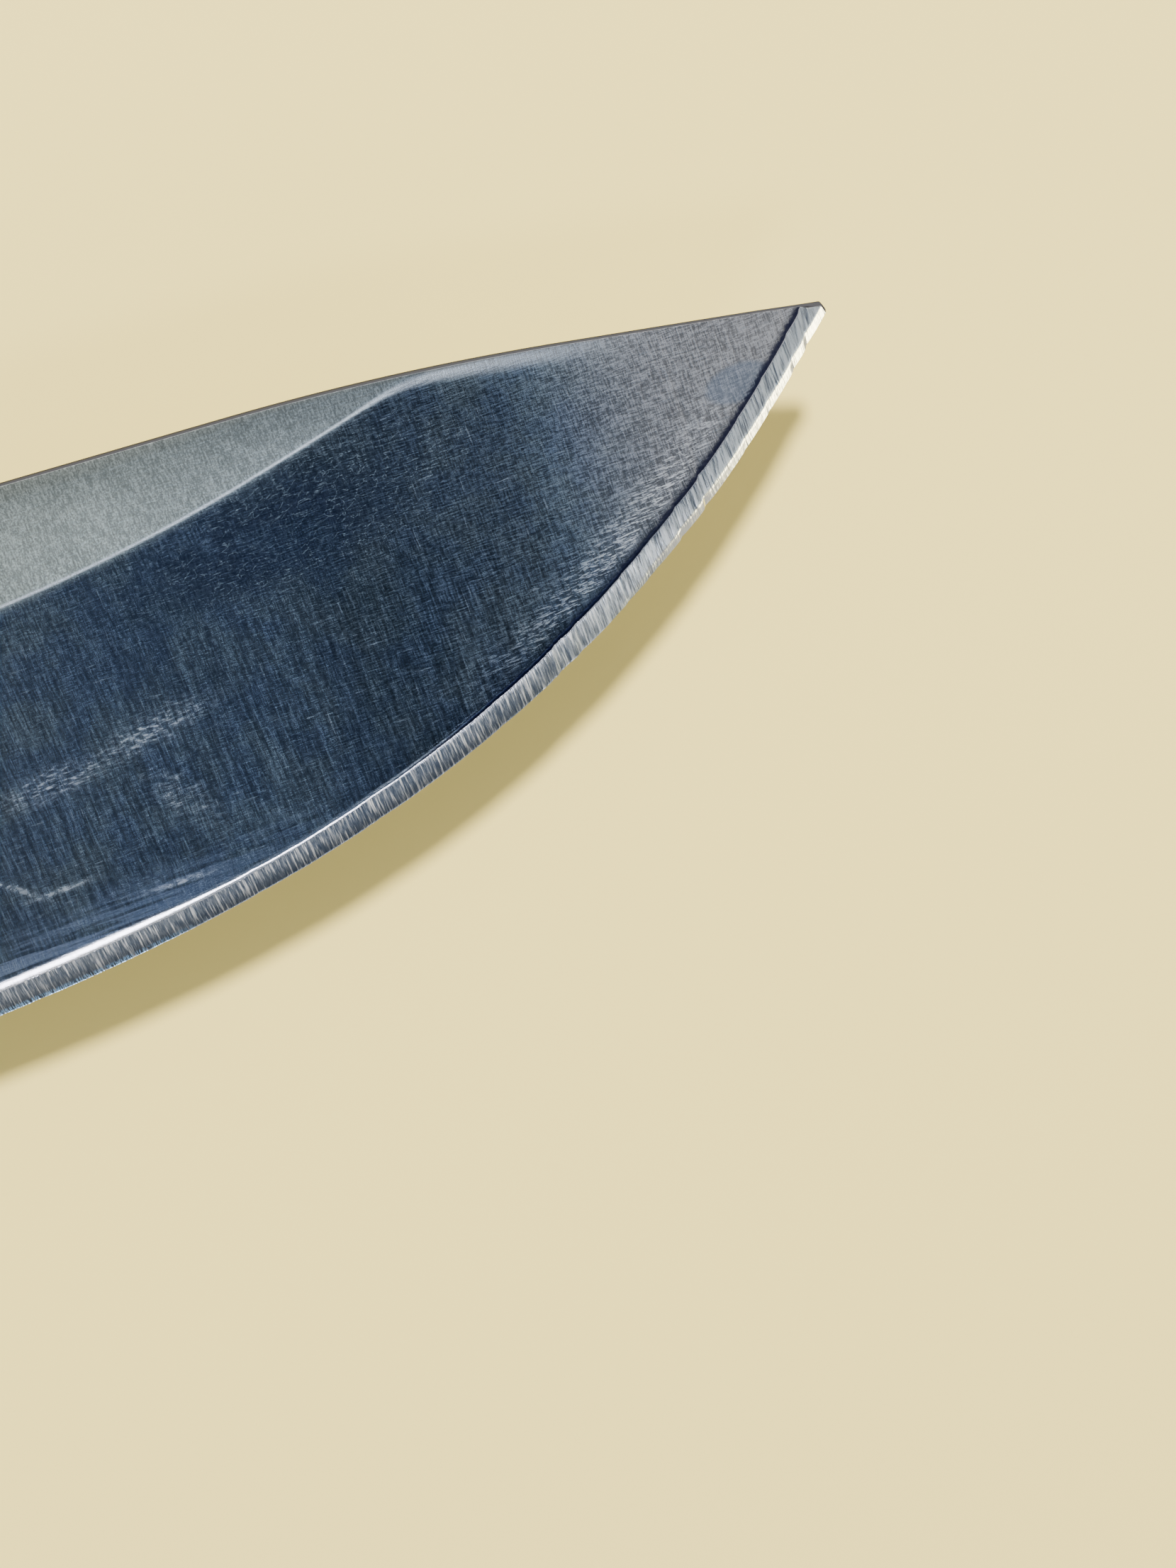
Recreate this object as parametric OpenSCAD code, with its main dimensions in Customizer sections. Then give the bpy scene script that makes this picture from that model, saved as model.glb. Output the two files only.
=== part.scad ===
// Boning knife with a full tang, lying on its left side.
// +X runs to the point, +Y to the spine, and +Z is up, out of the knife's right side.
// The origin is under the middle of the whole knife, on the surface that it lies on.
// Inside the modules x = 0 is the bolsters' front face, y = 0 the straight spine,
// and z = 0 the middle of the steel.

/* [Blade] */
// Length from the bolsters to the point
blade_len = 150; // [130:1:170]
// Width from the spine to the straight part of the edge
blade_w = 28.8; // [26:0.1:30]
// Thickness of the steel
blade_t = 3; // [2.4:0.1:3.6]
// Distance from the point at which the spine starts to drop
drop_start = 33; // [28:0.5:40]
// Length of the bend that leads into the straight run down to the point
drop_bend = 19; // [12:0.5:22]
// Slope of that straight run, in degrees
drop_angle = 6.8; // [5:0.1:9]
// Height of the blunt end at the very point
tip_blunt = 0.5; // [0.3:0.05:0.8]
// Distance from the point at which the edge starts to curve up
belly_len = 75; // [65:1:85]
// Slope of the edge where it reaches the point, in degrees
tip_angle = 46.5; // [42:0.5:52]
// How long the belly stays level, as a share of its length
belly_hold = 0.56; // [0.48:0.01:0.62]
// How long the edge holds its slope behind the point, as a share of the belly's length
tip_hold = 0.293; // [0.25:0.005:0.33]

/* [Grind] */
// Height of the flat left under the spine
flat_w = 6.7; // [5:0.1:8]
// Distance from the point at which the grind line starts to sweep up
sweep_start = 57; // [50:1:64]
// Distance from the point at which the grind line reaches the spine
sweep_end = 22; // [18:1:26]
// Radius of the hollow ground into each side
hollow_r = 260; // [240:10:600]
// Distance from the bolsters to the start of the grind
plunge_x = 6; // [5:0.5:8]
// Length over which the grind reaches its full depth
plunge_len = 9; // [6:0.5:12]

/* [Edge] */
// Width of the edge bevel, square to the edge
bevel_w = 1.35; // [1:0.05:1.7]
// Slope of the bevel on each side, in degrees
bevel_angle = 17; // [15:0.5:20]
// Thickness left at the sharp edge
edge_land = 0.06; // [0.04:0.01:0.1]
// Radius of the notch between the edge and the guard
choil_r = 6.5; // [5.5:0.1:7]
// Distance from the bolsters to the centre of that notch
choil_x = 3.5; // [3:0.1:4]
// Depth of the notch's centre under the edge
choil_drop = 1.7; // [1.2:0.1:2.2]

/* [Handle] */
// Length from the bolsters' front to the butt
handle_len = 120; // [114:1:128]
// Thickness over both scales
handle_t = 20; // [18:0.5:22]
// Width of the rounding along the top and bottom of the handle
edge_round = 7; // [5:0.5:8]
// Length of the rounding at the butt
butt_round = 12; // [10:0.5:14]
// Thickness of each fibre liner
liner_t = 0.8; // [0.5:0.1:1.2]

/* [Bolsters] */
// Length of the bolsters
bolster_len = 16; // [14:0.5:18]
// Length of the rounding at the bolsters' front
bolster_round = 7; // [5:0.5:8]
// Diameter of the two bolster pins
pin_d = 3; // [2:0.5:4]
// Distance of the pins behind the bolsters' front
pin_x = 11.5; // [11:0.5:12]
// Depth of the upper pin under the spine
pin_upper = 8.5; // [8:0.5:10]
// Depth of the lower pin under the spine
pin_lower = 20; // [18:0.5:21]

/* [Rivets] */
// Diameter of the rivet heads
head_d = 8; // [7:0.5:9]
// Thickness of the rivet heads
head_t = 2.5; // [2:0.1:3]
// Outside diameter of the hollow rivet half
barrel_d = 5; // [4.6:0.1:5.4]
// Diameter of the solid rivet half
shank_d = 3.2; // [2.8:0.1:3.4]
// Distance of the front rivet behind the bolsters' front
rivet_front_x = 27; // [25:0.5:29]
// Distance between rivets
rivet_step = 28; // [26:0.5:29]

/* [Hang tube] */
// Outside diameter of the tube
tube_d = 8; // [7.5:0.1:8.5]
// Diameter of the hole through it
hang_d = 6; // [5:0.1:6.5]
// Distance of the tube behind the bolsters' front
tube_x = 102; // [100:0.5:103]

/* [Fits] */
// Gap round each pin, barrel and head
fit_gap = 0.03; // [0.02:0.01:0.05]

/* [Hidden] */

steel_h = blade_t / 2;
side_h = handle_t / 2;
land_z = steel_h + liner_t;
bevel_t = edge_land / 2 + bevel_w * tan(bevel_angle);
// Room left under the hollow rivet half's mouth, and past the end of the solid half's shank.
barrel_gap = 1;
shank_gap = 1;

// The blade's outline.
drop_slope = tan(drop_angle);
function spine_y(x) =
    let (s = x - (blade_len - drop_start))
    s < 0 ? 0 : s < drop_bend ? -drop_slope * s * s / (2 * drop_bend) : -drop_slope * (s - drop_bend / 2);

tip_y = spine_y(blade_len) - tip_blunt;
belly = [[blade_len - belly_len, -blade_w],
         [blade_len - belly_len * (1 - belly_hold), -blade_w],
         [blade_len - belly_len * tip_hold * cos(tip_angle), tip_y - belly_len * tip_hold * sin(tip_angle)],
         [blade_len, tip_y]];
function belly_point(t) =
    let (u = 1 - t)
    u * u * u * belly[0] + 3 * u * u * t * belly[1] + 3 * u * t * t * belly[2] + t * t * t * belly[3];
function belly_slope(t) =
    let (u = 1 - t, d = u * u * (belly[1] - belly[0]) + 2 * u * t * (belly[2] - belly[1])
                        + t * t * (belly[3] - belly[2]))
    d / norm(d);

// A station is [x, y of the edge, cosine of the edge's slope].
plunge_steps = 8;
straight_steps = 8;
belly_steps = 34;
plunge_end = plunge_x + plunge_len;
straight_len = belly[0].x - plunge_end;
stations = concat(
    [for (i = [0 : plunge_steps]) [plunge_x + plunge_len * i / plunge_steps, -blade_w, 1]],
    [for (i = [1 : straight_steps - 1]) [plunge_end + straight_len * i / straight_steps, -blade_w, 1]],
    [for (i = [0 : belly_steps]) let (t = i / belly_steps, p = belly_point(t)) [p.x, p.y, belly_slope(t).x]]);

// The grind: a flat under the spine, a hollow below it, and the bevel at the edge.
function grind_y(x) =
    let (s = max(0, sweep_start - blade_len + x) / (sweep_start - sweep_end))
    spine_y(x) - flat_w * (1 - s * s);
function plunge(x) =
    let (s = min(1, (x - plunge_x) / plunge_len))
    s * s * (3 - 2 * s);
function bevel_top(st) = st[1] + bevel_w / st[2];
function ground(st, y) =
    let (low = bevel_top(st), high = grind_y(st[0]), v = (y - low) / (high - low))
    let (sag = pow(high - low, 2) * v * (1 - v) / (2 * hollow_r))
    y < low ? edge_land / 2 + (y - st[1]) * st[2] * tan(bevel_angle)
            : min(steel_h, bevel_t + (steel_h - bevel_t) * v - sag);
function steel_half(st, y) = steel_h - plunge(st[0]) * (steel_h - ground(st, y));

hollow_steps = 7;
function columns(st) =
    let (top = spine_y(st[0]), low = min(bevel_top(st), top - (top - st[1]) / 4),
         high = min(grind_y(st[0]), top - (top - low) / 16))
    concat([top], [for (i = [0 : hollow_steps]) high + (low - high) * i / hollow_steps], [st[1]]);
function blade_ring(st) =
    let (ys = columns(st), n = len(ys) - 1)
    concat([for (i = [n : -1 : 0]) [st[0], ys[i], steel_half(st, ys[i])]],
           [for (i = [0 : n]) [st[0], ys[i], -steel_half(st, ys[i])]]);

// The handle's outline: smooth curves through [x, y] points, closed by a round butt.
choil_y = -blade_w - choil_drop;
guard_front_y = choil_y + sqrt(choil_r * choil_r - choil_x * choil_x);
top_line = [[-handle_len, -3], [-95, -0.5], [-60, 2], [-25, 1.2], [-6, 0.2], [0, 0]];
bottom_line = [[-handle_len, -29], [-108, -33], [-92, -29.5], [-68, -30.5], [-42, -27.5],
               [-25, -25], [-8, -33], [0, guard_front_y]];
function span(line, x, i = 0) =
    i >= len(line) - 2 || x <= line[i + 1].x ? i : span(line, x, i + 1);
function slope(line, i) =
    let (a = line[max(i - 1, 0)], b = line[min(i + 1, len(line) - 1)])
    (b.y - a.y) / (b.x - a.x);
function curve_y(line, x) =
    let (i = span(line, x), a = line[i], b = line[i + 1], w = b.x - a.x, s = (x - a.x) / w,
         k = 3 * s * s - 2 * s * s * s)
    a.y * (1 - k) + b.y * k + w * s * (1 - s) * ((1 - s) * slope(line, i) - s * slope(line, i + 1));
function round_up(s) = sqrt(1 - pow(1 - min(1, s), 2));
function handle_mid(x) = (curve_y(top_line, x) + curve_y(bottom_line, x)) / 2;
function handle_half(x) =
    (curve_y(top_line, x) - curve_y(bottom_line, x)) / 2 * round_up((x + handle_len) / butt_round);

butt_xs = [for (a = [10 : 10 : 90]) -handle_len + butt_round * (1 - cos(a))];
grip_steps = 36;
grip_len = handle_len - butt_round - bolster_len;
grip_xs = [for (i = [1 : grip_steps]) -handle_len + butt_round + grip_len * i / grip_steps];
bolster_steps = 9;
bolster_xs = [for (i = [0 : bolster_steps])
    -bolster_len + (bolster_len - bolster_round) * i / bolster_steps];
front_xs = [for (a = [80 : -10 : 10]) -bolster_round * (1 - cos(a))];

// Half of a cross-section of the handle above the steel: flat outside, round at top and bottom.
round_steps = 7;
function handle_ring(x, inner_z) =
    let (mid = handle_mid(x), half = handle_half(x), r = min(edge_round, 0.98 * half),
         rise = (side_h - land_z) * round_up((x + handle_len) / butt_round) * round_up(-x / bolster_round),
         arc = [for (i = [0 : round_steps]) let (a = 90 * i / round_steps) [half - r * (1 - cos(a)),
                                                                         land_z + rise * sin(a)]])
    concat(inner_z < land_z ? [[x, mid - half, inner_z]] : [],
           [for (p = arc) [x, mid - p[0], p[1]]],
           [for (i = [round_steps : -1 : 0]) [x, mid + arc[i][0], arc[i][1]]],
           inner_z < land_z ? [[x, mid + half, inner_z]] : []);

handle_top = max([for (x = grip_xs) handle_mid(x) + handle_half(x)]);
handle_xs = concat(butt_xs, grip_xs, bolster_xs, front_xs);
handle_bottom = min([for (x = handle_xs) handle_mid(x) - handle_half(x)]);
centre_x = (blade_len + butt_xs[0]) / 2;
centre_y = (handle_top + handle_bottom) / 2;

module place() {
    translate([-centre_x, -centre_y, side_h]) children();
}

// Solid through a row of rings that all have the same even number of points.
// Each end is closed by a ladder of four-sided faces between the ring's two halves.
module loft(rings) {
    n = len(rings[0]);
    last = (len(rings) - 1) * n;
    skin = [for (i = [0 : n : last - 1]) for (j = [0 : n - 1])
        let (a = i + j, b = i + (j + 1) % n)
        each [[a, b, b + n], [a, b + n, a + n]]];
    ladder = [for (k = [0 : n / 2 - 2]) [k, k + 1, n - 2 - k, n - 1 - k]];
    first_cap = [for (f = ladder) [f[3], f[2], f[1], f[0]]];
    last_cap = [for (f = ladder) [for (j = f) last + j]];
    polyhedron(points = [for (r = rings) each r], faces = concat(first_cap, skin, last_cap), convexity = 6);
}

module handle_outline(xs) {
    polygon(concat([for (x = xs) [x, handle_mid(x) + handle_half(x)]],
                   [for (i = [len(xs) - 1 : -1 : 0]) [xs[i], handle_mid(xs[i]) - handle_half(xs[i])]]));
}

module left_side() {
    mirror([0, 0, 1]) children();
}

// Where the rivets, the pins and the tube pass through.
function rivet_x(i) = -rivet_front_x - i * rivet_step;
function rivet_pos(i) = [rivet_x(i), handle_mid(rivet_x(i)), 0];
tube_pos = [-tube_x, handle_mid(-tube_x), 0];

module rod(d, low, high) {
    translate([0, 0, low]) cylinder(d = d, h = high - low, $fn = 96);
}

module rivet_holes() {
    for (i = [0 : 2]) translate(rivet_pos(i)) rod(barrel_d + 2 * fit_gap, -side_h - 1, side_h + 1);
}

module tube_hole() {
    translate(tube_pos) rod(tube_d + 2 * fit_gap, -side_h - 1, side_h + 1);
}

module pin_holes() {
    for (y = [pin_upper, pin_lower])
        translate([-pin_x, -y, 0]) rod(pin_d + 2 * fit_gap, -side_h - 1, side_h + 1);
}

module blade() {
    color("lightsteelblue") place() difference() {
        union() {
            difference() {
                union() {
                    loft([for (st = stations) blade_ring(st)]);
                    translate([0, -blade_w, -steel_h]) cube([plunge_x, blade_w, blade_t]);
                }
                translate([choil_x, choil_y, 0]) rod(2 * choil_r, -blade_t, blade_t);
            }
            translate([0, 0, -steel_h]) linear_extrude(blade_t)
                handle_outline(concat(butt_xs, grip_xs, bolster_xs, front_xs, [0]));
        }
        rivet_holes();
        pin_holes();
        tube_hole();
    }
}

module bolster() {
    color("goldenrod") difference() {
        loft([for (x = concat(bolster_xs, front_xs)) handle_ring(x, steel_h)]);
        pin_holes();
    }
}

module bolster_pin(depth) {
    color("goldenrod") place() translate([-pin_x, -depth, 0]) rod(pin_d, -side_h, side_h);
}

module liner() {
    color("firebrick") difference() {
        translate([0, 0, steel_h]) linear_extrude(liner_t) handle_outline(concat(butt_xs, grip_xs));
        rivet_holes();
        tube_hole();
    }
}

module scale() {
    color("saddlebrown") difference() {
        loft([for (x = concat(butt_xs, grip_xs)) handle_ring(x, land_z)]);
        rivet_holes();
        for (i = [0 : 2]) translate(rivet_pos(i)) rod(head_d + 2 * fit_gap, side_h - head_t, side_h + 1);
        tube_hole();
    }
}

module rivet_male(i) {
    color("goldenrod") place() translate(rivet_pos(i)) {
        rod(head_d, side_h - head_t, side_h);
        rod(shank_d - 2 * fit_gap, -side_h + head_t + shank_gap + barrel_gap, side_h - head_t);
    }
}

module rivet_female(i) {
    color("goldenrod") place() translate(rivet_pos(i)) difference() {
        union() {
            rod(head_d, -side_h, -side_h + head_t);
            rod(barrel_d, -side_h + head_t, side_h - head_t - barrel_gap);
        }
        rod(shank_d, -side_h + head_t + barrel_gap, side_h);
    }
}

module hang_tube() {
    color("goldenrod") place() translate(tube_pos) difference() {
        rod(tube_d, -side_h, side_h);
        rod(hang_d, -side_h - 1, side_h + 1);
    }
}

blade();
place() left_side() bolster();  // bolster_left
place() bolster();  // bolster_right
bolster_pin(pin_upper);  // bolster_pin_upper
bolster_pin(pin_lower);  // bolster_pin_lower
place() left_side() liner();  // liner_left
place() liner();  // liner_right
place() left_side() scale();  // scale_left
place() scale();  // scale_right
rivet_male(0);  // rivet_front_male
rivet_female(0);  // rivet_front_female
rivet_male(1);  // rivet_middle_male
rivet_female(1);  // rivet_middle_female
rivet_male(2);  // rivet_rear_male
rivet_female(2);  // rivet_rear_female
hang_tube();
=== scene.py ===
import math

import bmesh
import bpy
import numpy as np
from mathutils import Euler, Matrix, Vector


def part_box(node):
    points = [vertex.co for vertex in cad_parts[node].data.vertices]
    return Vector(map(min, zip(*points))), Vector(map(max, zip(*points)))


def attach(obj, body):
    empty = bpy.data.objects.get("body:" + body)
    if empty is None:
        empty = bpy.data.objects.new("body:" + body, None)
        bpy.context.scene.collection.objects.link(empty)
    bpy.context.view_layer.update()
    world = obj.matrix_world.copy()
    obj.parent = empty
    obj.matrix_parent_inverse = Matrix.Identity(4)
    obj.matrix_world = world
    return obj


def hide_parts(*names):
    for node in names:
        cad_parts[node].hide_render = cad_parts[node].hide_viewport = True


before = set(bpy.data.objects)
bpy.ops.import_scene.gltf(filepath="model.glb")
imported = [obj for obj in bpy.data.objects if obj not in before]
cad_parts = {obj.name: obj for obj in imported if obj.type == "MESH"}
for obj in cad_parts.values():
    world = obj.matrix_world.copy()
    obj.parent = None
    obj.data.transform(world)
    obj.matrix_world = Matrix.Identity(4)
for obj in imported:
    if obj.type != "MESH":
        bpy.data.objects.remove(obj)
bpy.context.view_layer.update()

MM = 0.001

# ---------------------------------------------------------------- dimensions in millimetres, as in the CAD
BLADE_LEN, BLADE_W, BLADE_T = 150, 28.8, 3
DROP_START, DROP_BEND, DROP_SLOPE = 33, 19, math.tan(math.radians(6.8))
TIP_BLUNT, TIP_ANGLE = 0.5, math.radians(46.5)
BELLY_LEN, BELLY_HOLD, TIP_HOLD = 75, 0.56, 0.293
FLAT_W, SWEEP_START, SWEEP_END, HOLLOW_R = 6.7, 57, 22, 260
PLUNGE_X, PLUNGE_LEN = 6, 9
BEVEL_W, BEVEL_SLOPE, EDGE_LAND = 1.35, math.tan(math.radians(17)), 0.06
CHOIL_R, CHOIL_X, CHOIL_DROP = 6.5, 3.5, 1.7
HANDLE_LEN, HANDLE_T, EDGE_ROUND, BUTT_ROUND, LINER_T = 120, 20, 7, 12, 0.8
BOLSTER_LEN, BOLSTER_ROUND = 16, 7
PIN_D, PIN_X, PIN_DEPTHS = 3, 11.5, {"upper": 8.5, "lower": 20}
HEAD_D, HEAD_T, BARREL_D, SHANK_D = 8, 2.5, 5, 3.2
RIVETS = {"front": 27, "middle": 55, "rear": 83}
TUBE_D, HANG_D, TUBE_X = 8, 6, 102
FIT_GAP = 0.03
PIN_EASE, HEAD_EASE, TUBE_FLARE = 0.08, 0.1, 0.35
# How far the tools that cut the holes stand out of the handle.
TOOL_OVER = 1

STEEL_H = BLADE_T / 2
SIDE_H = HANDLE_T / 2
LAND_Z = STEEL_H + LINER_T
BEVEL_GROWTH, GROWTH_SPAN = 0.3, (36, 50)
# The facet worn off the point: its length, its depth and the curve between.
FACET_LEN, FACET_DROP, FACET_POWER = 0.28, 0.54, 1.2
# Distance from the point and depth of the nicks near it; smaller ones lie further back.
NICKS = [(1.5, 0.13), (2.5, 0.09), (4.4, 0.06), (6.2, 0.05),
         (9.1, 0.13), (10.8, 0.10), (14.6, 0.05), (19.2, 0.05)]
SMALL_NICKS, NICK_SPAN, NICK_DEPTHS = 16, (12, 54), (0.015, 0.045)
WEAR_SEED = 7
# Distance from the bolsters at which the tang's plate takes over from the blade's.
TANG_START = -8
CHOIL_Y = -BLADE_W - CHOIL_DROP
GUARD_FRONT_Y = CHOIL_Y + math.sqrt(CHOIL_R ** 2 - CHOIL_X ** 2)
HEEL_X = CHOIL_X + math.sqrt(CHOIL_R ** 2 - CHOIL_DROP ** 2)
GUARD_Y = -33

TOP_LINE = [(-HANDLE_LEN, -3), (-95, -0.5), (-60, 2), (-25, 1.2), (-6, 0.2), (0, 0)]
BOTTOM_LINE = [(-HANDLE_LEN, -29), (-108, GUARD_Y), (-92, -29.5), (-68, -30.5), (-42, -27.5),
               (-25, -25), (-8, GUARD_Y), (0, GUARD_FRONT_Y)]

# Where the knife's own zero (bolster front, straight spine, middle of the steel) lies in the frame.
blade_lo, blade_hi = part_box("blade")
ZERO = Vector((blade_hi.x / MM - BLADE_LEN, blade_lo.y / MM - GUARD_Y, SIDE_H))


def place(points):
    """Knife millimetres to frame metres."""
    return (np.asarray(points, float) + np.array(ZERO)) * MM


# ---------------------------------------------------------------- the blade's shape
def smoothstep(s):
    s = np.clip(s, 0, 1)
    return s * s * (3 - 2 * s)


def softmin(a, b, k):
    return np.minimum(a, b) - np.maximum(k - np.abs(a - b), 0) ** 2 / (4 * k)


def spine_y(x):
    s = np.maximum(x - (BLADE_LEN - DROP_START), 0)
    return -DROP_SLOPE * np.where(s < DROP_BEND, s * s / (2 * DROP_BEND), s - DROP_BEND / 2)


TIP_Y = float(spine_y(BLADE_LEN)) - TIP_BLUNT
BELLY = np.array([(BLADE_LEN - BELLY_LEN, -BLADE_W),
                  (BLADE_LEN - BELLY_LEN * (1 - BELLY_HOLD), -BLADE_W),
                  (BLADE_LEN - BELLY_LEN * TIP_HOLD * math.cos(TIP_ANGLE),
                   TIP_Y - BELLY_LEN * TIP_HOLD * math.sin(TIP_ANGLE)),
                  (BLADE_LEN, TIP_Y)])
belly_t = np.linspace(0, 1, 3000)[:, None]
belly_u = 1 - belly_t
belly_curve = (belly_u ** 3 * BELLY[0] + 3 * belly_u ** 2 * belly_t * BELLY[1]
               + 3 * belly_u * belly_t ** 2 * BELLY[2] + belly_t ** 3 * BELLY[3])
belly_cos = np.gradient(belly_curve[:, 0]) / np.hypot(np.gradient(belly_curve[:, 0]),
                                                      np.gradient(belly_curve[:, 1]))


def edge_y(x):
    straight = np.interp(x, belly_curve[:, 0], belly_curve[:, 1])
    notch = CHOIL_Y + np.sqrt(np.maximum(CHOIL_R ** 2 - (x - CHOIL_X) ** 2, 0))
    return np.where(x < HEEL_X, notch, straight)


def edge_cos(x):
    return np.interp(x, belly_curve[:, 0], belly_cos)


def grind_y(x):
    s = np.maximum(SWEEP_START - BLADE_LEN + x, 0) / (SWEEP_START - SWEEP_END)
    return spine_y(x) - FLAT_W * (1 - s * s)


def plunge(x):
    return smoothstep((x - PLUNGE_X) / PLUNGE_LEN)


def rise(value, start, end):
    """0 at start, 1 at end, eased; the two may be given in either order."""
    return smoothstep((value - start) / (end - start))


def bevel_w(x):
    """Width of the bevel; it has been stoned a little wider towards the handle."""
    return BEVEL_W + BEVEL_GROWTH * rise(BLADE_LEN - x, *GROWTH_SPAN)


def steel_half(x, y, apex):
    """Half thickness of the ground steel; apex is the y of the edge at x."""
    from_tip = BLADE_LEN - x
    reach = (y - apex) * edge_cos(x)
    wide = bevel_w(x)
    bevel_h = EDGE_LAND / 2 + wide * BEVEL_SLOPE
    low, high = apex + wide / edge_cos(x), grind_y(x)
    v = (y - low) / (high - low)
    climb = STEEL_H - bevel_h
    hollow = bevel_h + climb * v - (high - low) ** 2 * v * (1 - v) / (2 * HOLLOW_R)
    hollow = np.where(v > 1, STEEL_H + (v - 1) * climb, np.maximum(hollow, bevel_h * 0.9))
    # Where the ridge runs out through the spine it goes soft.
    run_out = rise(from_tip, 26, 20) * rise(from_tip, 8, 14)
    hollow = hollow - 0.05 * run_out * np.exp(-np.maximum(spine_y(x) - y, 0) / 0.7)
    # The buffed hollow sinks a little just before the bevel.
    hollow = hollow - 0.012 * rise(from_tip, 34, 24) * np.exp(-((reach - wide - 0.25) / 0.13) ** 2)
    height = softmin(hollow, STEEL_H, 0.012)
    # Near the point a second, steeper bevel has been stoned onto the apex.
    second = 0.19 * rise(from_tip, 17, 9)
    main = second + reach * (BEVEL_SLOPE - second / wide) * (1.14 - 0.14 * np.clip(reach / wide, 0, 1.4))
    bevel = EDGE_LAND / 2 + softmin(main, reach * 0.6, 0.02)
    shoulder = 0.02 + 0.08 * rise(from_tip, 38, 50) + 0.05 * rise(from_tip, 32, 22)
    ground = softmin(height, bevel, shoulder)
    return STEEL_H - plunge(x) * (STEEL_H - np.maximum(ground, EDGE_LAND / 2))


def between(a, b, count):
    """count steps from a towards b, without b; a and b are columns of numbers."""
    return a[:, None] + (b - a)[:, None] * (np.arange(count) / count)[None, :]


def blade_stations():
    turn = np.linspace(math.acos(-CHOIL_X / CHOIL_R), math.acos((HEEL_X - CHOIL_X) / CHOIL_R), 36)
    notch = CHOIL_X + CHOIL_R * np.cos(turn)
    return np.concatenate([np.linspace(TANG_START, 0, 17)[:-1], notch[:-1], np.linspace(HEEL_X, 15, 26)[:-1],
                           np.linspace(15, 96, 82)[:-1], np.linspace(96, 130, 171)[:-1],
                           np.linspace(130, 149, 191)[:-1], np.linspace(149, 149.97, 21)])


def blade_outline(x, rng):
    """Top and bottom of the blade at each station, with the blunt point and the worn edge."""
    top = np.where(x < 0, handle_y(TOP_LINE, x), spine_y(x))
    low = np.where(x < 0, handle_y(BOTTOM_LINE, x), edge_y(x))
    from_tip = BLADE_LEN - x
    facet = FACET_DROP * (1 - np.clip(from_tip / FACET_LEN, 0, 1)) ** FACET_POWER
    top = top - 0.03 * rise(from_tip, 4, 1) - facet
    wear = np.convolve(rng.normal(0, 1, len(x)), np.ones(5) / 5, "same") * 0.010
    wear = wear - 0.13 * rise(from_tip, 14, 8)
    # Each nick ends sharply on one side and runs out on the other.
    near_at, near_deep = zip(*NICKS)
    where = np.concatenate([near_at, rng.uniform(*NICK_SPAN, SMALL_NICKS)])
    depth = np.concatenate([near_deep, rng.uniform(*NICK_DEPTHS, SMALL_NICKS)])
    for at, deep in zip(where, depth):
        gap = from_tip - at
        wear = wear + deep * np.where(gap > 0, np.exp(-gap / 0.06), np.exp(gap / 0.5))
    return top, low + np.where(x > 15, wear, 0)


def handle_y(line, x):
    """Smooth curve through the points of line, read at x."""
    px, py = np.array(line, float).T
    slopes = np.empty(len(px))
    slopes[1:-1] = (py[2:] - py[:-2]) / (px[2:] - px[:-2])
    slopes[0] = (py[1] - py[0]) / (px[1] - px[0])
    slopes[-1] = (py[-1] - py[-2]) / (px[-1] - px[-2])
    x = np.asarray(x, float)
    i = np.clip(np.searchsorted(px, x) - 1, 0, len(px) - 2)
    w = px[i + 1] - px[i]
    s = (x - px[i]) / w
    k = s * s * (3 - 2 * s)
    return py[i] * (1 - k) + py[i + 1] * k + w * s * (1 - s) * ((1 - s) * slopes[i] - s * slopes[i + 1])


def blade_grid():
    """x, y and z of the right face, one row for each station, from the spine to the edge."""
    x = blade_stations()
    top, low = blade_outline(x, np.random.default_rng(WEAR_SEED))
    tall = top - low
    corner = np.minimum(0.07 + 0.17 * rise(BLADE_LEN - x, 1.5, 0.5), tall * 0.25)
    shoulder = np.minimum(low + bevel_w(x) / edge_cos(x), top - 0.3 * tall)
    ridge = np.minimum(grind_y(x), top - 0.12 * (top - shoulder) - corner)
    ridge_w = np.minimum(1.1, 0.35 * (ridge - shoulder))
    ridge_w = np.minimum(ridge_w, 0.6 * (top - corner - ridge))
    shoulder_w = np.minimum(0.55, 0.3 * (shoulder - low))
    turn = np.radians(np.linspace(0, 90, 5)[:-1])
    rounded = top[:, None] - corner[:, None] * (1 - np.cos(turn))[None, :]
    y = np.concatenate([rounded,
                        between(top - corner, ridge + ridge_w, 5),
                        between(ridge + ridge_w, ridge - ridge_w, 16),
                        between(ridge - ridge_w, shoulder + shoulder_w, 30),
                        between(shoulder + shoulder_w, shoulder - 0.4 * shoulder_w, 16),
                        between(shoulder - 0.4 * shoulder_w, low, 12),
                        (low + 0.0004)[:, None], low[:, None]], axis=1)
    xs = np.repeat(x[:, None], y.shape[1], axis=1)
    z = steel_half(xs, y, low[:, None])
    depth = np.clip((top[:, None] - y) / corner[:, None], 0, 1)
    eased = corner[:, None] * (1 - np.sqrt(1 - (1 - depth) ** 2))
    z = np.maximum(z - np.minimum(eased, 0.6 * z), 0.01)
    return xs, y, z, top, low


def mesh_object(name, verts, faces, smooth_deg=30):
    mesh = bpy.data.meshes.new(name)
    mesh.from_pydata(verts, [], faces)
    mesh.validate()
    mesh.update()
    mesh.shade_smooth()
    mesh.set_sharp_from_angle(angle=math.radians(smooth_deg))
    obj = bpy.data.objects.new(name, mesh)
    bpy.context.scene.collection.objects.link(obj)
    return obj


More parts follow.
